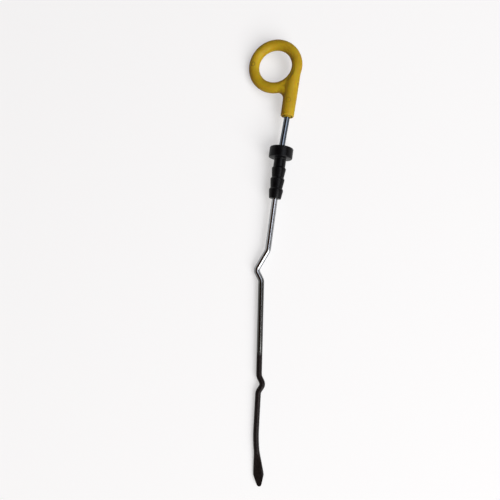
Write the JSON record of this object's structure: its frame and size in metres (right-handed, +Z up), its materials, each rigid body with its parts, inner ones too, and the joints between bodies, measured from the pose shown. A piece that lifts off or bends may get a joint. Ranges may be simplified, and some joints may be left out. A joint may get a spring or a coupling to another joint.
{
  "type": "engine oil dipstick",
  "caption": "Engine oil dipstick: loop finger handle on a bent steel rod, with a barbed rubber stopper for the guide tube and a flattened spear tip that shows the oil level.",
  "frame": {"origin": "on the table, under the middle of the box round the whole dipstick as it lies at rest", "axes": "+Y runs up the stick from the tip to the handle, +X to the right with the ring's stem on that side, +Z up from the table"},
  "size_m": [0.047, 0.3912, 0.0213],
  "materials": {
    "bright_steel": "bright drawn wire, stained dark by oil over its lower half",
    "black_rubber": "matt moulded",
    "yellow_plastic": "satin moulded"
  },
  "bodies": {
    "root": {"gauge_rod": "bright_steel", "tube_stopper": "black_rubber", "loop_handle": "yellow_plastic"}
  },
  "joints": []
}
